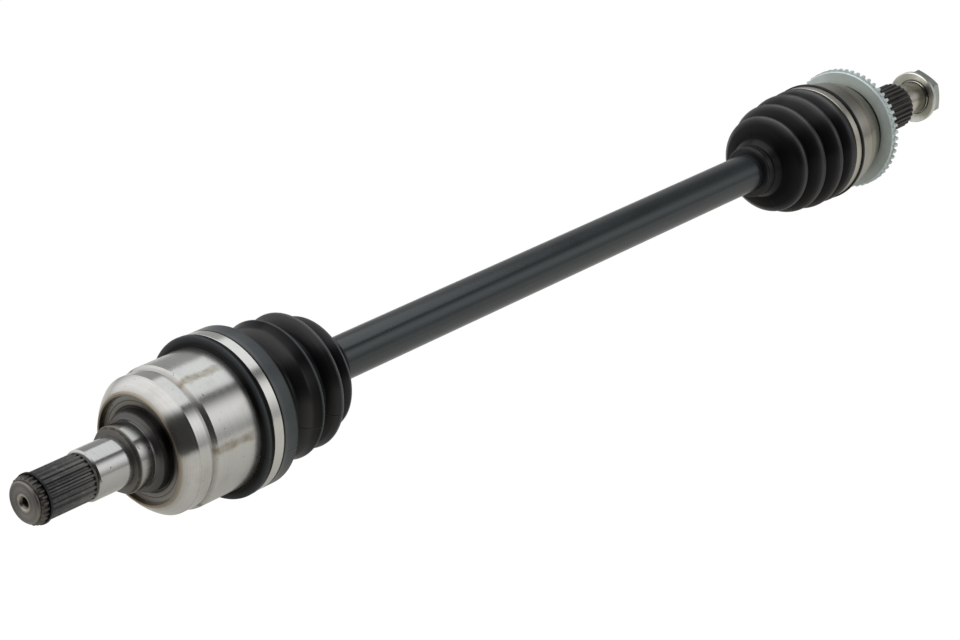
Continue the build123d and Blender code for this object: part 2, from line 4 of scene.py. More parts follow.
import bpy
import numpy as np
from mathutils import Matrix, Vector


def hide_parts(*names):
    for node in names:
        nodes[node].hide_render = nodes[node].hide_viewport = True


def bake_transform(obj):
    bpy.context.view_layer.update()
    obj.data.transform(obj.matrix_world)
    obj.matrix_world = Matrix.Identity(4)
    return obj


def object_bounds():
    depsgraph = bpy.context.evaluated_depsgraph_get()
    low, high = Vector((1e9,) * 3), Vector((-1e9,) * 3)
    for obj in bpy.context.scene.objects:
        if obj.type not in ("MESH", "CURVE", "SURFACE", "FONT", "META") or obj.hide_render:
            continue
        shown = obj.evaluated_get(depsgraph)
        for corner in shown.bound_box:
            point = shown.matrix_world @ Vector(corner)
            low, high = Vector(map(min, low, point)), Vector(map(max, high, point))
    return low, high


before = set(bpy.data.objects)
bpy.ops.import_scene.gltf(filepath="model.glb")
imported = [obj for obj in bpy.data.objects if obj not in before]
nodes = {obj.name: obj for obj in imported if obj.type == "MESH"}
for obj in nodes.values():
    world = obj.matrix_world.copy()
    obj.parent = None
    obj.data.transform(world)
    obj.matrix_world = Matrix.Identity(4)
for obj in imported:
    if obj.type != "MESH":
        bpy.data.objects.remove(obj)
cad_low, cad_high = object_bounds()

MM = 0.001
AXLE_START = cad_low.y                     # inboard end face


def at(station):
    """Y in metres of a station in millimetres from the inboard end face."""
    return AXLE_START + station * MM


def rgba(colour):
    """A plain colour with full alpha; a socket stays as it is."""
    return (*colour, 1) if isinstance(colour, tuple) else colour


# ------------------------------------------------------------------ building blocks of materials and world
class Graph:
    """Adds nodes to a tree; sockets and plain values go in, sockets come out."""

    def __init__(self, tree):
        self.tree = tree

    def node(self, kind, *inputs, **settings):
        made = self.tree.nodes.new("ShaderNode" + kind)
        for key, value in settings.items():
            setattr(made, key, value)
        for index, value in enumerate(inputs):
            self.feed(made.inputs[index], value)
        return made

    def feed(self, socket, value):
        if isinstance(value, bpy.types.NodeSocket):
            self.tree.links.new(value, socket)
        elif value is not None:
            socket.default_value = value

    def math(self, operation, a, b=None, clamp=False):
        return self.node("Math", a, b, operation=operation, use_clamp=clamp).outputs[0]

    def product(self, first, *others):
        for other in others:
            first = self.math("MULTIPLY", first, other)
        return first

    def rise(self, base, value, gain, clamp=False):
        """base + value * gain."""
        return self.math("ADD", base, self.product(value, gain), clamp)

    def off(self, value):
        return self.math("SUBTRACT", 1.0, value)

    def step(self, value, low, high):
        """0 below low, 1 above high, smooth between."""
        made = self.node("MapRange", value, float(low), float(high))
        made.interpolation_type = "SMOOTHSTEP"
        return made.outputs[0]

    def window(self, value, up, full, down, gone):
        """0 below up, 1 from full to down, 0 above gone, smooth between."""
        return self.product(self.step(value, up, full), self.off(self.step(value, down, gone)))

    def blend(self, share, a, b):
        """a where share is 0, b where it is 1."""
        return self.math("ADD", self.product(a, self.off(share)), self.product(b, share))

    def grey(self, value):
        return self.node("CombineColor", value, value, value).outputs[0]


class Maker(Graph):
    """One node material. Stations and radii are those of the part, in millimetres; angles are in radians."""

    def __init__(self, name):
        self.material = bpy.data.materials.new(name)
        self.material.use_nodes = True
        super().__init__(self.material.node_tree)
        self.shader = self.tree.nodes["Principled BSDF"]
        self.place = self.node("TexCoord").outputs["Object"]
        parts = self.node("SeparateXYZ", self.place).outputs
        self.station = self.math("MULTIPLY", self.math("SUBTRACT", parts["Y"], AXLE_START), 1 / MM)
        across = self.node("CombineXYZ", parts["X"], 0.0, parts["Z"]).outputs[0]
        length = self.node("VectorMath", across, operation="LENGTH").outputs["Value"]
        self.radius = self.math("MULTIPLY", length, 1 / MM)
        self.angle = self.math("ARCTAN2", parts["X"], parts["Z"])      # 0 at +Z, rising towards +X

    def noise(self, vector, scale, detail, rough):
        made = self.node("TexNoise")
        self.feed(made.inputs["Vector"], vector)
        made.inputs["Scale"].default_value = scale
        made.inputs["Detail"].default_value = detail
        made.inputs["Roughness"].default_value = rough
        return made.outputs["Fac"]

    def rings(self, per_mm, spin, detail):
        """Noise drawn out round the axis: the marks of turning and grinding."""
        vector = self.node("CombineXYZ", self.product(self.angle, spin), self.product(self.station, per_mm),
                           self.product(self.radius, per_mm)).outputs[0]
        return self.noise(vector, 1.0, detail, 0.6)

    def lengthwise(self, per_radian, per_mm, seed, detail, rough):
        """Noise drawn out along the axle."""
        vector = self.node("CombineXYZ", self.product(self.angle, per_radian),
                           self.product(self.station, per_mm), seed).outputs[0]
        return self.noise(vector, 1.0, detail, rough)

    def off_lines(self, first, spacing):
        """Degrees round the axle from the nearest of the lines at the angles first, first + spacing, ..."""
        turns = self.math("DIVIDE", self.math("SUBTRACT", self.angle, first), spacing)
        to_nearest = self.math("ABSOLUTE", self.math("SUBTRACT", turns, self.math("ROUND", turns)))
        return self.product(to_nearest, math.degrees(spacing))

    def ramp(self, share, stops):
        """A colour ramp over (position, colour) stops, positions 0 to 1."""
        made = self.node("ValToRGB", share)
        bar = made.color_ramp
        bar.interpolation = "LINEAR"
        while len(bar.elements) > 1:
            bar.elements.remove(bar.elements[-1])
        for index, (position, colour) in enumerate(stops):
            element = bar.elements[0] if index == 0 else bar.elements.new(position)
            element.position = position
            element.color = rgba(colour)
        return made.outputs["Color"]

    def along(self, stops):
        """A colour ramp along the axle over (station, colour) stops."""
        start, end = stops[0][0], stops[-1][0]
        share = self.node("MapRange", self.station, float(start), float(end)).outputs[0]
        return self.ramp(share, [((station - start) / (end - start), colour) for station, colour in stops])

    def grey_along(self, stops):
        """A number along the axle over (station, value) stops."""
        return self.along([(station, (value,) * 3) for station, value in stops])

    def mix(self, share, a, b, kind="MIX"):
        made = self.node("Mix", data_type="RGBA", blend_type=kind)
        self.feed(made.inputs["Factor"], share)
        self.feed(made.inputs["A"], rgba(a))
        self.feed(made.inputs["B"], rgba(b))
        return made.outputs["Result"]

    def streaked(self, colour, streaks, least, gain):
        """The colour times least + streaks * gain."""
        return self.mix(1.0, colour, self.grey(self.rise(least, streaks, gain)), "MULTIPLY")

    def bump(self, height, strength, depth, under=None):
        """Relief whose full height stands for depth millimetres, on top of the relief under it."""
        made = self.node("Bump")
        made.inputs["Strength"].default_value = strength
        made.inputs["Distance"].default_value = depth * MM
        self.feed(made.inputs["Height"], height)
        self.feed(made.inputs["Normal"], under)
        return made.outputs["Normal"]

    def brushed_round(self, amount):
        """Stretches highlights across marks that run round the axis."""
        self.shader.inputs["Anisotropic"].default_value = amount
        self.shader.inputs["Anisotropic Rotation"].default_value = 0.25         # a quarter turn
        tangent = self.node("Tangent", direction_type="RADIAL", axis="Y").outputs[0]
        self.feed(self.shader.inputs["Tangent"], tangent)

    def finish(self, colour, rough, metal, normal):
        inputs = {"Base Color": colour, "Roughness": rough, "Metallic": metal, "Normal": normal}
        for name, value in inputs.items():
            self.feed(self.shader.inputs[name], value)
        return self.material


# ------------------------------------------------------------------ camera and studio
# directions round the axle are in degrees, 0 at -Y and rising towards +X
CAMERA_AZIMUTH = 40.44
CAMERA_ELEVATION = 23.49
CAMERA_DISTANCE = 1.5114
CAMERA_AIM = Vector((0.0, -0.0765, -0.0165))
CAMERA_LENS = 94.23                        # mm
CAMERA_SEES_TO = 50.0

OVERHEAD_PLACE = (-0.275, 0.325, 1.0)
OVERHEAD_SIZE = (1.35, 1.25)
OVERHEAD_POWER = 5.6
OVERHEAD_TINT = (0.96, 0.99, 1.0)
DOWN = Vector((0.0, 0.0, -1.0))

ROOM_HALF = 9.0
ROOM_HEIGHT = 14.0
SHEET_GAP = 0.0005                         # from the axle down to the table, and on to the floor
SQUARE = ((-1, -1), (1, -1), (1, 1), (-1, 1))
TABLE_CORNERS = [(-2.0, -0.42), (-0.45, -0.47), (0.03, -0.51), (0.9, -0.84), (0.9, 2.2), (-2.0, 2.2)]
ROOM_GLOW = (1.0, 1.0, 1.0)
ROOM_PAINT = (0.02, 0.02, 0.02)
TABLE_GLOW = (0.41, 0.40, 0.375)
TABLE_PAINT = (0.36, 0.36, 0.34)

# softboxes left of the camera and far to its right, with a dark gap between them, as seen in the steel;
# heights are sines of the elevation
IN_FRONT = (-108, -80, 74, 86)
GAP_GLOW = 0.045
LEFT_BOX_TOWARDS = (-0.72, 0.20, 0.67)
LEFT_BOX_EDGE = (0.0, 0.27)
LEFT_BOX_HEIGHTS = (-0.30, 0.10)
LEFT_BOX_GLOWS = (0.6, 1.22)               # below these heights and above them
RIGHT_BOX_ROUND = (74, 88, 138, 153)
RIGHT_BOX_HEIGHTS = (-0.02, 0.46, 0.52, 0.76)
RIGHT_BOX_GLOW = 1.2
BACK_HEIGHTS = (0.48, 0.66)
BACK_TOP_GLOW = 0.12
BACK_LOW_EXTRA = 0.30


def into_scene(name, data, place, look_along):
    """A camera or light at place, with its view along a direction."""
    made = bpy.data.objects.new(name, data)
    made.location = place
    made.rotation_mode = "QUATERNION"
    made.rotation_quaternion = look_along.to_track_quat("-Z", "Y")
    bpy.context.scene.collection.objects.link(made)
    return made


def make_camera():
    azimuth, elevation = math.radians(CAMERA_AZIMUTH), math.radians(CAMERA_ELEVATION)
    back = Vector((math.sin(azimuth) * math.cos(elevation), -math.cos(azimuth) * math.cos(elevation),
                   math.sin(elevation)))
    data = bpy.data.cameras.new("camera")
    data.lens = CAMERA_LENS
    data.clip_end = CAMERA_SEES_TO
    bpy.context.scene.camera = into_scene("camera", data, CAMERA_AIM + back * CAMERA_DISTANCE, -back)


def make_overhead():
    data = bpy.data.lights.new("overhead", "AREA")
    data.shape = "RECTANGLE"
    data.size, data.size_y = OVERHEAD_SIZE
    data.energy = OVERHEAD_POWER
    data.color = OVERHEAD_TINT
    into_scene("overhead", data, OVERHEAD_PLACE, DOWN)


def panel(name, corners, faces, glow, paint, seen_by_camera):
    """A plain staging sheet; one that the camera sees isn't in reflections, and the other way round."""
    mesh = bpy.data.meshes.new(name)
    mesh.from_pydata(corners, [], faces)
    sheet = bpy.data.objects.new(name, mesh)
    bpy.context.scene.collection.objects.link(sheet)
    material = bpy.data.materials.new(name)
    material.use_nodes = True
    shader = material.node_tree.nodes["Principled BSDF"]
    shader.inputs["Base Color"].default_value = rgba(paint)
    shader.inputs["Roughness"].default_value = 0.9
    shader.inputs["Specular IOR Level"].default_value = 0.0
    shader.inputs["Emission Color"].default_value = rgba(glow)
    shader.inputs["Emission Strength"].default_value = 1.0
    mesh.materials.append(material)
    sheet.visible_camera = seen_by_camera
    for kind in ("glossy", "diffuse", "transmission", "volume_scatter", "shadow"):
        setattr(sheet, "visible_" + kind, not seen_by_camera)


def make_room_and_table():
    table = cad_low.z - SHEET_GAP
    room = [(x * ROOM_HALF, y * ROOM_HALF, z) for z in (table - SHEET_GAP, ROOM_HEIGHT) for x, y in SQUARE]
    walls = [(i, (i + 1) % 4, (i + 1) % 4 + 4, i + 4) for i in range(4)]
    panel("floor", room, [(0, 1, 2, 3)] + walls, ROOM_GLOW, ROOM_PAINT, True)
    panel("table", [(x, y, table) for x, y in TABLE_CORNERS], [tuple(range(len(TABLE_CORNERS)))],
          TABLE_GLOW, TABLE_PAINT, False)


def make_world():
    world = bpy.data.worlds.new("studio")
    world.use_nodes = True
    world.node_tree.nodes.clear()
    g = Graph(world.node_tree)
    direction = g.node("TexCoord").outputs["Generated"]
    parts = g.node("SeparateXYZ", direction).outputs
    height = parts["Z"]
    round_to = g.math("DEGREES", g.math("ARCTAN2", parts["X"], g.product(parts["Y"], -1.0)))
    leftward = g.node("VectorMath", direction, LEFT_BOX_TOWARDS, operation="DOT_PRODUCT").outputs["Value"]
    left_box = g.blend(g.step(height, *LEFT_BOX_HEIGHTS), *LEFT_BOX_GLOWS)
    front = g.blend(g.step(leftward, *LEFT_BOX_EDGE), GAP_GLOW, left_box)
    right_box = g.product(g.window(round_to, *RIGHT_BOX_ROUND), g.window(height, *RIGHT_BOX_HEIGHTS))
    dim = g.rise(BACK_TOP_GLOW, g.off(g.step(height, *BACK_HEIGHTS)), BACK_LOW_EXTRA)
    back = g.blend(right_box, dim, RIGHT_BOX_GLOW)
    strength = g.blend(g.window(round_to, *IN_FRONT), back, front)
    background = g.node("Background", g.grey(strength))
    g.tree.links.new(background.outputs[0], g.node("OutputWorld").inputs[0])
    bpy.context.scene.world = world
    bpy.context.scene.view_settings.view_transform = "Standard"


# ------------------------------------------------------------------ steel of the inboard joint
INNER_COLOURS = [                          # (station, colour)
    # end face, spline and the undercut after it
    (0, (0.15, 0.14, 0.13)), (0.5, (0.20, 0.19, 0.18)), (1.6, (0.12, 0.11, 0.10)),
    (6.0, (0.10, 0.095, 0.09)), (8.4, (0.085, 0.088, 0.09)), (22, (0.10, 0.105, 0.105)),
    (35.5, (0.14, 0.14, 0.135)), (36.8, (0.07, 0.065, 0.06)), (38.4, (0.10, 0.095, 0.09)),
    # ground journal, and the as-forged groove after it
    (39.0, (0.50, 0.50, 0.49)), (60.6, (0.50, 0.50, 0.49)), (61.0, (0.055, 0.050, 0.042)),
    (62.7, (0.085, 0.080, 0.068)), (63.1, (0.26, 0.25, 0.23)),
    # seal seat and the dark cone behind it
    (63.4, (0.46, 0.46, 0.45)), (71.6, (0.42, 0.42, 0.41)), (72.4, (0.11, 0.11, 0.11)),
    (76.9, (0.09, 0.085, 0.08)),
    # rim, shoulder and band
    (77.15, (0.24, 0.20, 0.15)), (77.7, (0.30, 0.27, 0.225)), (78.4, (0.48, 0.465, 0.44)),
    (80.4, (0.57, 0.565, 0.55)), (84.6, (0.60, 0.595, 0.58)), (85.4, (0.52, 0.515, 0.50)),
    (86.2, (0.58, 0.575, 0.56)), (92.6, (0.56, 0.555, 0.54)),
    # groove and barrel
    (93.2, (0.42, 0.41, 0.39)), (95.8, (0.42, 0.41, 0.39)), (96.8, (0.56, 0.555, 0.54)),
    (147, (0.58, 0.575, 0.56)),
]
INNER_ROUGHNESS = [                        # (station, roughness)
    (0, 0.46), (8, 0.46), (36, 0.42), (38.4, 0.40), (39.0, 0.19), (60.4, 0.19), (61.0, 0.55), (63.0, 0.50),
    (63.4, 0.18), (71.6, 0.20), (73, 0.38), (77.0, 0.34), (77.8, 0.22), (84.6, 0.19), (92.4, 0.21),
    (93.4, 0.30), (96, 0.30), (97, 0.235), (147, 0.245),
]
RECESS_RADII = (21.0, 32.0)
RECESS_COLOURS = [                         # (smooth share of the way between those radii, colour)
    # the dark rings nearest the hub, down to near-black at 0.20, are painted shade deep in the recess
    (0.0, (0.10, 0.097, 0.095)), (0.12, (0.06, 0.057, 0.055)), (0.20, (0.018, 0.016, 0.014)),
    (0.28, (0.16, 0.155, 0.145)), (0.50, (0.21, 0.20, 0.185)), (0.56, (0.06, 0.045, 0.028)),
    (0.62, (0.20, 0.195, 0.185)), (0.84, (0.25, 0.25, 0.25)), (0.92, (0.15, 0.11, 0.065)),
    (1.0, (0.32, 0.28, 0.23)),
]
END_FACE_RADIUS = 12.0
END_FACE_COLOURS = [                       # (share of the end face's radius, colour), lathe centre first
    (0.0, (0.08, 0.075, 0.07)), (0.24, (0.14, 0.125, 0.11)), (0.30, (0.46, 0.42, 0.36)),
    (0.40, (0.42, 0.385, 0.335)), (0.44, (0.18, 0.17, 0.155)), (0.62, (0.24, 0.23, 0.22)),
    (0.80, (0.18, 0.17, 0.16)), (0.93, (0.24, 0.23, 0.22)), (1.0, (0.30, 0.285, 0.265)),
]
STRIP_FIRST = math.radians(22.5)           # middle of the first hardening mark on the barrel
STRIP_STEP = math.radians(60)
STRIP_BROWN = (0.25, 0.195, 0.12)


def hardening_marks(m):
    """How strongly a soft straw-brown mark, left by hardening the tracks inside, shows on the barrel."""
    ragged = m.product(m.math("SUBTRACT", m.noise(m.place, 130.0, 4.0, 0.6), 0.5), 8.0)
    off_middle = m.math("ADD", m.off_lines(STRIP_FIRST, STRIP_STEP), ragged)
    return m.product(m.off(m.step(off_middle, 1.0, 5.0)),
                     m.window(m.math("ADD", m.station, ragged), 93.0, 96.0, 116.0, 127.0))


def inner_housing_steel():
    m = Maker("turned_steel_inboard")
    colour = m.along(INNER_COLOURS)
    in_recess = m.product(m.window(m.station, 73.6, 74.4, 84.0, 84.5), m.off(m.step(m.radius, 31.2, 33.2)))
    # the recess ring colours include painted shade deep in the recess, near the hub
    colour = m.mix(in_recess, colour, m.ramp(m.step(m.radius, *RECESS_RADII), RECESS_COLOURS))
    face = m.ramp(m.math("DIVIDE", m.radius, END_FACE_RADIUS), END_FACE_COLOURS)
    colour = m.mix(m.off(m.step(m.station, 0.2, 0.7)), colour, face)

    strip = hardening_marks(m)
    spots = m.rise(0.55, m.step(m.noise(m.place, 210.0, 2.0, 0.5), 0.35, 0.65), 0.45)
    colour = m.mix(m.product(strip, spots, 0.72), colour, STRIP_BROWN)

    streaks = m.rings(1.6, 1.0, 6.0)
    fine = m.rings(7.0, 2.5, 3.0)
    colour = m.streaked(colour, streaks, 0.84, 0.30)
    stain = m.step(m.noise(m.place, 34.0, 6.0, 0.7), 0.50, 0.78)
    colour = m.mix(m.product(stain, 0.30), colour, (0.30, 0.28, 0.24))
    unground = m.math("ADD", m.off(m.step(m.station, 37.0, 40.0)),
                      m.window(m.station, 60.8, 61.2, 62.8, 63.2))
    mottle = m.product(m.noise(m.place, 300.0, 5.0, 0.7), unground)
    colour = m.mix(m.product(m.step(mottle, 0.5, 0.7), 0.55), colour, (0.24, 0.215, 0.185))
    specks = m.step(m.noise(m.place, 520.0, 2.0, 0.5), 0.70, 0.75)
    colour = m.mix(m.product(specks, 0.7), colour, (0.05, 0.045, 0.04))

    rough = m.rise(m.grey_along(INNER_ROUGHNESS), m.math("SUBTRACT", streaks, 0.5), 0.16)
    rough = m.rise(rough, strip, 0.10)
    rough = m.rise(rough, in_recess, 0.08, clamp=True)
    normal = m.bump(streaks, 0.14, 0.08)
    normal = m.bump(fine, 0.12, 0.02, normal)
    normal = m.bump(mottle, 0.25, 0.3, normal)
    m.brushed_round(0.5)
    return m.finish(colour, rough, 1.0, normal)


# ------------------------------------------------------------------ steel of the outboard joint
OUTER_COLOURS = [                          # (station, colour)
    # boot seat and ring
    (700, (0.34, 0.33, 0.30)), (713, (0.36, 0.35, 0.32)), (714.3, (0.24, 0.23, 0.20)),
    (715.2, (0.38, 0.37, 0.335)), (726.6, (0.36, 0.35, 0.31)),
    # rounded back of the bell, oily towards the tone ring
    (727.6, (0.16, 0.15, 0.13)), (729.0, (0.28, 0.265, 0.225)), (737, (0.25, 0.235, 0.19)),
    (743, (0.23, 0.205, 0.155)), (745.8, (0.21, 0.18, 0.12)), (746.5, (0.05, 0.038, 0.018)),
    (747.4, (0.045, 0.034, 0.016)),
    # hub seat and black spline
    (747.8, (0.38, 0.38, 0.37)), (759.6, (0.38, 0.38, 0.37)), (766.0, (0.16, 0.16, 0.16)),
    (767.5, (0.013, 0.0125, 0.0125)), (816.5, (0.017, 0.0165, 0.0165)), (817.8, (0.09, 0.09, 0.09)),
    # shank and thread
    (820.4, (0.40, 0.38, 0.34)), (821.0, (0.58, 0.545, 0.49)), (842.4, (0.56, 0.525, 0.47)),
    (843.6, (0.40, 0.40, 0.38)), (858, (0.46, 0.46, 0.45)),
]
OUTER_ROUGHNESS = [                        # (station, roughness)
    (700, 0.30), (714, 0.24), (727, 0.21), (745, 0.28), (746.5, 0.6), (748, 0.36), (766, 0.34),
    (768, 0.48), (817, 0.46), (821, 0.20), (843, 0.22), (858, 0.32),
]
OUTER_METAL = [                            # (station, how metallic)
    (700, 1.0), (745.8, 1.0), (746.5, 0.5), (747.4, 0.5), (747.8, 1.0), (766.0, 1.0),
    (768, 0.55), (816, 0.55), (818, 1.0), (858, 1.0),
]
THREAD_PITCH = 1.5


def thread_helix(m):
    """Height of the M24 x 1.5 thread past the shank, as a fine helix on its cylinder."""
    turn = m.math("DIVIDE", m.angle, 2 * math.pi)
    helix = m.math("PINGPONG", m.math("ADD", m.math("DIVIDE", m.station, THREAD_PITCH), turn), 0.5)
    on_thread = m.product(m.window(m.station, 843.8, 844.2, 856.6, 857.2), m.step(m.radius, 11.2, 11.6))
    return m.product(helix, on_thread)


def outer_housing_steel():
    m = Maker("turned_steel_outboard")
    streaks = m.rings(1.8, 1.0, 6.0)
    fine = m.rings(8.0, 2.5, 3.0)
    oil = m.step(m.noise(m.place, 42.0, 5.0, 0.6), 0.42, 0.75)
    colour = m.mix(m.product(oil, 0.30), m.along(OUTER_COLOURS), (0.20, 0.18, 0.13))
    colour = m.streaked(colour, streaks, 0.93, 0.13)
    tooth_tips = m.product(m.step(m.radius, 15.9, 16.45), m.window(m.station, 766.0, 767.0, 816.0, 818.0))
    colour = m.mix(m.product(tooth_tips, 0.6), colour, (0.08, 0.08, 0.083))
    rough = m.rise(m.grey_along(OUTER_ROUGHNESS), m.math("SUBTRACT", streaks, 0.5), 0.12, clamp=True)
    normal = m.bump(thread_helix(m), 1.0, 1.2)
    normal = m.bump(streaks, 0.08, 0.03, normal)
    normal = m.bump(fine, 0.06, 0.01, normal)
    m.brushed_round(0.5)
    return m.finish(colour, rough, m.grey_along(OUTER_METAL), normal)


# ------------------------------------------------------------------ other materials
def bar_paint():
    m = Maker("satin_black_bar")
    grain = m.lengthwise(9.0, 0.05, 0.0, 4.0, 0.6)
    cloud = m.noise(m.place, 26.0, 4.0, 0.6)
    orange_peel = m.noise(m.place, 900.0, 2.0, 0.5)
    scratch = m.step(m.lengthwise(30.0, 0.16, 3.0, 3.0, 0.5), 0.73, 0.76)
    colour = m.mix(cloud, (0.0095, 0.0122, 0.0134), (0.0185, 0.0238, 0.0260))
    colour = m.mix(m.product(m.step(grain, 0.55, 0.9), 0.5), colour, (0.045, 0.058, 0.064))
    colour = m.mix(m.product(scratch, 0.35), colour, (0.13, 0.13, 0.13))
    rough = m.rise(0.16, cloud, 0.12)
    rough = m.rise(rough, scratch, 0.15)
    normal = m.bump(orange_peel, 0.10, 0.2)
    normal = m.bump(grain, 0.05, 0.3, normal)
    m.shader.inputs["Specular IOR Level"].default_value = 0.66
    m.shader.inputs["Specular Tint"].default_value = (0.90, 0.97, 1.0, 1.0)
    return m.finish(colour, rough, 0.0, normal)


SHEEN_AND_WEAR_FADE = 0.7                            # how far a line of painted sheen, partly wear, fades out on each side, mm
# the flanks of the boots go from painted shade in the valleys to painted light and dust at the crests
FLANK_MIDDLE = 0.55                        # share of the way up a fold
FLANK_MIDDLE_LIGHT_AND_DUST = 0.22
CREST_BEFORE = 0.6                         # the painted light and dust are full this far before a crest, mm
CREST_AFTER = 1.6                          # and mostly gone this far past it
CREST_AFTER_LIGHT_AND_DUST = 0.3
END_LIGHT_AND_DUST = 0.6


def sheen_and_wear_stops(first, last, sheen_and_wear_at):
    """1 on each (start, end) stretch of painted sheen and wear between the stations first and last, 0
    elsewhere.
    """
    stops = [(first, 0.0)]
    for start, end in sheen_and_wear_at:
        stops += [(start - SHEEN_AND_WEAR_FADE, 0.0), (start, 1.0), (end, 1.0), (end + SHEEN_AND_WEAR_FADE, 0.0)]
    return stops + [(last, 0.0)]


def flank_stops(first, last, flanks, lip):
    """0 at the bottom and 1 at the crest of each (bottom, crest) pair of flanks, and lip at the inboard end:
    painted shade in the valley, painted light and dust up at the crest.
    """
    stops = [(first, lip)]
    for bottom, crest in flanks:
        middle = bottom * (1 - FLANK_MIDDLE) + crest * FLANK_MIDDLE
        stops += [(bottom, 0.0), (middle, FLANK_MIDDLE_LIGHT_AND_DUST), (crest - CREST_BEFORE, 1.0),
                  (crest + CREST_AFTER, CREST_AFTER_LIGHT_AND_DUST)]
    return stops + [(last, END_LIGHT_AND_DUST)]


def rubber(name, seam_angle, corners, sheen_and_wear_at, sheen_and_wear_colour, flanks, crest_light_and_dust_colour, lip):
    """Black moulded rubber with a fine parting line along two sides. Along given stretches it is lightened
    towards a given
    colour: painted sheen on the crests, the lip and the ridge, partly wear. Up each of the flanks (bottom of
    a fold, crest) it goes from dull black to glossier and lighter: painted shade in the valley, painted
    light and dust at the crest.
    lip is how far along that change the inboard end is."""
    m = Maker(name)
    first, last = corners[0][0], corners[-1][0]
    cloud = m.noise(m.place, 38.0, 5.0, 0.6)
    grain = m.noise(m.place, 1500.0, 2.0, 0.6)
    dust = m.step(m.noise(m.place, 210.0, 4.0, 0.7), 0.58, 0.80)
    sheen_and_wear = m.grey_along(sheen_and_wear_stops(first, last, sheen_and_wear_at))
    crest_light_and_dust = m.grey_along(flank_stops(first, last, flanks, lip))
    seam = m.off(m.step(m.off_lines(seam_angle, math.pi), 0.25, 0.85))
    colour = m.mix(cloud, (0.0022, 0.0021, 0.0023), (0.0050, 0.0047, 0.0050))
    colour = m.mix(m.product(dust, 0.07), colour, (0.035, 0.036, 0.040))
    # dark towards each valley, lighter towards each crest: painted shade and painted light, partly dust
    colour = m.mix(m.product(crest_light_and_dust, 0.8), colour, crest_light_and_dust_colour)
    # lighter along the crests, the lip and the ridge: painted sheen, partly wear
    colour = m.mix(m.product(sheen_and_wear, m.rise(0.30, cloud, 0.7)), colour, sheen_and_wear_colour)
    normal = m.bump(seam, 0.7, 0.5)
    normal = m.bump(grain, 0.10, 0.12, normal)
    normal = m.bump(cloud, 0.06, 1.2, normal)
    # glossier towards each crest and near none in the valleys: the same painted shade
    m.feed(m.shader.inputs["Specular IOR Level"], m.rise(0.06, crest_light_and_dust, 0.46))
    return m.finish(colour, m.rise(0.24, cloud, 0.12), 0.0, normal)


def zinc(name, tint, dark, scale, rough_base, metal, oil_and_shade_below=0.0):
    """Blue-white zinc plating, cloudy and slightly matt, with a dark brown ring out to a given radius: old
    oil on the tone ring, painted shade in the gap round the thread on the washer.
    """
    m = Maker(name)
    cloud = m.noise(m.place, 60.0 * scale, 6.0, 0.65)
    spangle = m.noise(m.place, 420.0 * scale, 3.0, 0.6)
    rust = m.step(m.noise(m.place, 150.0, 5.0, 0.7), 0.66, 0.78)
    colour = m.mix(m.step(cloud, 0.3, 0.75), dark, tint)
    colour = m.mix(m.product(m.step(spangle, 0.5, 0.8), 0.25), colour, (0.72, 0.75, 0.74))
    colour = m.mix(m.product(rust, 0.18), colour, (0.24, 0.21, 0.15))
    if oil_and_shade_below:
        oil = m.product(m.off(m.step(m.radius, oil_and_shade_below - 0.25, oil_and_shade_below + 0.15)), 0.93)
        # dark brown inside the radius: old oil on the tone ring, painted shade in the washer's bore
        colour = m.mix(oil, colour, (0.035, 0.026, 0.010))
    normal = m.bump(m.rings(3.0, 1.4, 4.0), 0.12, 0.08)
    normal = m.bump(spangle, 0.10, 0.10, normal)
    return m.finish(colour, m.rise(rough_base, spangle, 0.2), metal, normal)


def steel(name, tint, rough_base, streak, brushed, per_mm=2.5):
    """Plain ground or rolled steel with marks round the axis."""
    m = Maker(name)
    streaks = m.rings(per_mm, 0.8, 5.0)
    smudge = m.step(m.noise(m.place, 70.0, 5.0, 0.6), 0.55, 0.8)
    colour = m.streaked(tint, streaks, 1.0 - streak / 2, streak)
    colour = m.mix(m.product(smudge, 0.18), colour, (0.22, 0.21, 0.19))
    m.brushed_round(brushed)
    return m.finish(colour, m.rise(rough_base, streaks, 0.14), 1.0, m.bump(streaks, 0.12, 0.08))


def dress():
    """Gives each CAD node its material."""
    spring = steel("spring_steel", (0.035, 0.035, 0.036), 0.34, streak=0.3, brushed=0.2)
    ground = steel("ground_steel", (0.55, 0.55, 0.55), 0.14, streak=0.2, brushed=0.2)
    dark_band = steel("dark_band", (0.05, 0.05, 0.052), 0.30, streak=0.3, brushed=0.3)
    looks = {
        "inner_housing": inner_housing_steel(),
        "outer_housing": outer_housing_steel(),
        "bar_shaft": bar_paint(),
        "tone_ring": zinc("zinc_ring", (0.66, 0.735, 0.73), (0.57, 0.64, 0.635), 1.0, 0.34, 0.4, 32.5),
        "axle_nut": zinc("zinc_nut", (0.47, 0.50, 0.475), (0.34, 0.37, 0.345), 1.5, 0.26, 0.85),
        # the washer's bore is darkened out to 13.1 mm: painted shade in the gap round the thread
        "axle_washer": zinc("zinc_washer", (0.66, 0.675, 0.635), (0.52, 0.53, 0.49), 1.5, 0.20, 1.0, 13.1),
        "inner_boot_clamp_large": steel("stainless_band", (0.62, 0.615, 0.59), 0.16,
                                        streak=0.22, brushed=0.4, per_mm=4.0),
        "outer_boot_clamp_large": steel("outboard_band", (0.52, 0.495, 0.44), 0.27,
                                        streak=0.25, brushed=0.5, per_mm=4.0),
        "inner_boot_clamp_small": dark_band,
        "outer_boot_clamp_small": dark_band,
    }
    for name, node in nodes.items():
        is_clip = name.startswith("roller_clip") or name.endswith("circlip")
        node.data.materials.clear()
        node.data.materials.append(looks.get(name, spring if is_clip else ground))


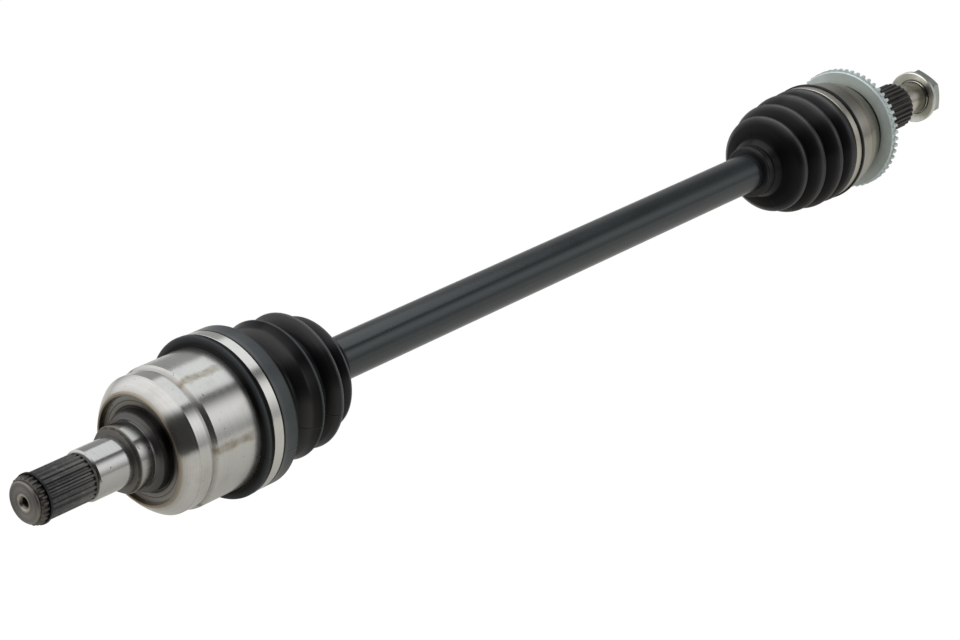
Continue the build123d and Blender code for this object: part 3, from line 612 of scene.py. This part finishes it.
# ------------------------------------------------------------------ boots
WALL = 2.3                                 # rubber wall, mm
AROUND = 180                               # points round a boot
RUN_STEP = 1.1                             # spacing of rings along a straight flank, mm
ARC_STEP = math.radians(12)                # and round a fold
FILLET_SHARE = 0.47                        # the most of a run that one fillet takes
LEAST_FILLET = 0.3
NO_TURN = 1e-3                             # radians
NO_REACH = 1e-4                            # mm
STEEP = 0.45                               # a normal leans less than this on a crest and in a valley
TOO_STEEP_COST = 10                        # mm


def outward(start, end):
    """Unit normal of a (station, radius) run, on its outer side."""
    along = (end - start) / np.linalg.norm(end - start)
    return np.array([-along[1], along[0]])


def filleted(corners):
    """Points and outer normals of the straight runs through (station, radius, fillet radius) corners."""
    spots = [np.array(corner[:2], float) for corner in corners]
    lengths = [np.linalg.norm(b - a) for a, b in zip(spots[:-1], spots[1:])]
    points, normals = [spots[0]], [outward(spots[0], spots[1])]

    def run_to(target):
        start = points[-1]
        count = max(1, int(round(np.linalg.norm(target - start) / RUN_STEP)))
        for k in range(1, count + 1):
            points.append(start + (target - start) * k / count)
            normals.append(normals[-1])

    for i in range(1, len(spots) - 1):
        before, after = outward(spots[i - 1], spots[i]), outward(spots[i], spots[i + 1])
        turn = math.atan2(before[0] * after[1] - before[1] * after[0], float(before @ after))
        reach = min(corners[i][2] * math.tan(abs(turn) / 2), FILLET_SHARE * lengths[i - 1],
                    FILLET_SHARE * lengths[i])
        into = (spots[i] - spots[i - 1]) / lengths[i - 1]
        run_to(spots[i] - into * reach)
        if abs(turn) < NO_TURN or reach < NO_REACH:
            continue
        radius = reach / math.tan(abs(turn) / 2)
        side = -1.0 if turn < 0 else 1.0
        centre = points[-1] + side * before * radius
        count = max(2, int(math.ceil(abs(turn) / ARC_STEP)))
        for k in range(1, count + 1):
            angle = turn * k / count
            normal = np.array([before[0] * math.cos(angle) - before[1] * math.sin(angle),
                               before[0] * math.sin(angle) + before[1] * math.cos(angle)])
            points.append(centre - side * normal * radius)
            normals.append(normal)
    run_to(spots[-1])
    return np.array(points), np.array(normals)


def lining(corners):
    """The corners of the wall's inner side."""
    spots = [np.array(corner[:2], float) for corner in corners]
    faces = [outward(a, b) for a, b in zip(spots[:-1], spots[1:])]
    inner = []
    for i, spot in enumerate(spots):
        before, after = faces[max(i - 1, 0)], faces[min(i, len(faces) - 1)]
        middle = before + after
        moved = spot - middle * (2 * WALL / float(middle @ middle))
        convex = before[0] * after[1] - before[1] * after[0] < 0
        fillet = max(corners[i][2] - WALL, LEAST_FILLET) if convex else corners[i][2] + WALL
        inner.append((moved[0], moved[1], fillet))
    return inner


def turned_mesh(name, runs):
    """A closed mesh turned round the axle from runs of (points, normals); flat between runs, or where a run
    has no normals."""
    points = np.vstack([spots for spots, _ in runs])
    count = len(points)
    edge_normals = []
    for spots, smooth in runs:
        for k in range(len(spots)):
            if smooth is not None and k < len(spots) - 1:
                edge_normals.append((smooth[k], smooth[k + 1]))
            else:
                here = len(edge_normals)
                flat = outward(points[here], points[(here + 1) % count])
                edge_normals.append((flat, flat))
    angles = np.arange(AROUND) * 2 * math.pi / AROUND
    sines, cosines = np.sin(angles), np.cos(angles)
    lengths, radii = at(points[:, 0]), points[:, 1] * MM
    verts = np.stack([np.outer(radii, sines), np.outer(lengths, np.ones(AROUND)),
                      np.outer(radii, cosines)], 2)
    faces = []
    wanted = []
    for i, (here, there) in enumerate(edge_normals):
        j = (i + 1) % count
        for a in range(AROUND):
            b = (a + 1) % AROUND
            faces.append((i * AROUND + a, i * AROUND + b, j * AROUND + b, j * AROUND + a))
            for normal, k in ((here, a), (here, b), (there, b), (there, a)):
                wanted.append((normal[1] * sines[k], normal[0], normal[1] * cosines[k]))
    mesh = bpy.data.meshes.new(name)
    mesh.from_pydata(verts.reshape(-1, 3).tolist(), [], faces)
    mesh.polygons.foreach_set("use_smooth", [True] * len(faces))
    mesh.update()
    mesh.normals_split_custom_set(wanted)
    made = bpy.data.objects.new(name, mesh)
    bpy.context.scene.collection.objects.link(made)
    return made


def marks(points, normals, cuts):
    """Indices of a line's start, of the point nearest each cut where it is on a crest or in a valley, and of
    its end."""
    cost = TOO_STEEP_COST * (np.abs(normals[:, 0]) > STEEP)
    middle = [int(np.argmin(np.abs(points[:, 0] - cut) + cost)) for cut in cuts]
    return [0] + middle + [len(points) - 1]


def boot(prefix, corners, bellows, inboard, outboard, cuts, replaced, material):
    """A bellows in one length for each joint it crosses, cut on a crest or in a valley. The
    wall is of even thickness under corners[bellows]. inboard and outboard are each (station where the
    bending starts or ends, which is not used, outline of the bore beyond that wall)."""
    outer, outer_normals = filleted(corners)
    inner, inner_normals = filleted(lining(corners[bellows]))
    outer_marks, inner_marks = marks(outer, outer_normals, cuts), marks(inner, inner_normals, cuts)
    last = len(cuts)
    for number in range(last + 1):
        skin_part = slice(outer_marks[number], outer_marks[number + 1] + 1)
        lining_part = slice(inner_marks[number], inner_marks[number + 1] + 1)
        skin = outer[skin_part]
        inside = inner[lining_part][::-1].copy()
        if number > 0:
            inside[-1][0] = skin[0][0]
        if number < last:
            inside[0][0] = skin[-1][0]
        runs = [(skin, outer_normals[skin_part])]
        if number == last:
            runs.append((np.array(outboard[1]), None))
        runs.append((inside, -inner_normals[lining_part][::-1]))
        if number == 0:
            runs.append((np.array(inboard[1]), None))
        piece = turned_mesh(f"{prefix}_{number + 1}", runs)
        piece.data.materials.append(material)
        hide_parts(*replaced)
        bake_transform(piece)


# outer surfaces, as (station, radius, fillet radius) corners
INNER_CORNERS = [
    # lip, band seat and the rest of the cuff
    (127.9, 42.8, 0), (128.7, 46.6, 0.9), (131.7, 46.5, 0.5), (132.3, 45.15, 0.2), (139.1, 45.15, 0.2),
    (139.6, 46.1, 0.4), (149.6, 46.1, 1.9),
    # three folds: the valley, the rounded flank of the first two, and the crest
    (158.2, 34.2, 3.0), (162.0, 33.0, 2.5), (168.0, 38.6, 5.0), (175.6, 40.8, 1.0),
    (183.2, 31.6, 1.8), (187.6, 37.4, 4.0), (191.6, 40.2, 1.0),
    (198.0, 29.2, 1.8), (204.8, 34.3, 1.1),
    # neck and small band's seat
    (208.6, 22.0, 6.0), (210.4, 17.4, 1.4), (213.6, 16.45, 0.3), (219.5, 16.45, 0.1), (219.8, 17.2, 0.25),
    (221.0, 17.2, 0.5), (221.6, 16.2, 0),
]
# (bottom, crest) pairs: painted shade at the bottom, painted light and dust at the crest
INNER_FLANKS = [(131.0, 141.2), (152.0, 168.0), (176.4, 191.4), (194.6, 204.6)]
# (start, end) stretches of painted sheen, partly wear: thin lines on the lip and the crests, a wide band on
# the ridge
INNER_SHEEN_AND_WEAR = [(128.7, 128.9), (140.4, 148.6), (174.8, 175.6), (190.8, 191.6), (204.1, 204.8)]
OUTER_CORNERS = [
    # the small band's seat, the raised ring beside it and the first flank
    (631.4, 16.3, 0), (631.8, 17.2, 0.3), (632.5, 17.2, 0.1), (632.7, 16.45, 0.1), (638.0, 16.45, 0.1),
    (638.6, 18.0, 0.5), (642.9, 20.4, 0.7), (644.0, 19.3, 0.3), (645.3, 19.3, 0.8), (649.2, 29.6, 5.0),
    # crests and the valleys between them
    (653.8, 34.3, 2.2), (660.2, 28.8, 1.6), (668.2, 39.3, 2.3), (676.2, 32.4, 1.8), (686.0, 41.3, 2.3),
    (693.6, 35.0, 1.6), (700.8, 40.8, 1.6),
    # band seat and lip
    (703.8, 40.5, 0.6), (704.6, 39.35, 0.2), (711.0, 39.35, 0.2), (711.4, 41.2, 0.5), (713.2, 41.3, 0.6),
    (713.7, 39.9, 0),
]
# (bottom, crest) pairs: painted shade at the bottom, painted light and dust at the crest
OUTER_FLANKS = [(646.5, 653.6), (660.6, 668.0), (676.8, 685.9), (694.0, 700.8)]
# (start, end) stretches of painted sheen, partly wear, along the crests
OUTER_SHEEN_AND_WEAR = [(652.4, 653.0), (666.8, 667.4), (684.6, 685.2), (699.8, 700.4)]
CUFF_BORE = 40.6                           # bores are radii: on the barrel,
BELL_BORE = 37.5                           # on the bell
BAR_BORE = 13.1                            # and on the bar
INNER_SEAM = math.radians(104)
OUTER_SEAM = INNER_SEAM + 0.9


def make_inner_boot():
    material = rubber("boot_rubber_inboard", INNER_SEAM, INNER_CORNERS,
                      # the blue-grey colour below is the painted sheen, partly wear
                      sheen_and_wear_at=INNER_SHEEN_AND_WEAR, sheen_and_wear_colour=(0.112, 0.127, 0.134),
                      # the colour the flanks lighten towards: painted light at the crests, partly dust
                      flanks=INNER_FLANKS, crest_light_and_dust_colour=(0.0060, 0.0058, 0.0062), lip=0.15)
    boot("inner_bellows_rubber", INNER_CORNERS, slice(6, 19),
         inboard=(142.5, [(142.4, 43.6), (141.9, CUFF_BORE), (INNER_CORNERS[0][0], CUFF_BORE)]),
         outboard=(213.0, [(INNER_CORNERS[-1][0], BAR_BORE), (213.4, BAR_BORE)]),
         cuts=[162.0, 183.6],
         replaced=["inner_boot", "inner_boot_cuff"], material=material)


def make_outer_boot():
    material = rubber("boot_rubber_outboard", OUTER_SEAM, OUTER_CORNERS,
                      # the grey colour below is the painted sheen, partly wear
                      sheen_and_wear_at=OUTER_SHEEN_AND_WEAR, sheen_and_wear_colour=(0.060, 0.060, 0.066),
                      # the colour the flanks lighten towards: painted light at the crests, partly dust
                      flanks=OUTER_FLANKS, crest_light_and_dust_colour=(0.0150, 0.0145, 0.0160), lip=0.6)
    boot("outer_bellows_rubber", OUTER_CORNERS, slice(8, 18),
         inboard=(645.0, [(644.6, BAR_BORE), (OUTER_CORNERS[0][0], BAR_BORE)]),
         outboard=(704.0, [(OUTER_CORNERS[-1][0], BELL_BORE), (702.8, BELL_BORE)]),
         cuts=[660.2, 676.2, 693.6],
         replaced=["outer_boot"], material=material)


make_camera()
make_room_and_table()
make_overhead()
make_world()
dress()
make_inner_boot()
make_outer_boot()
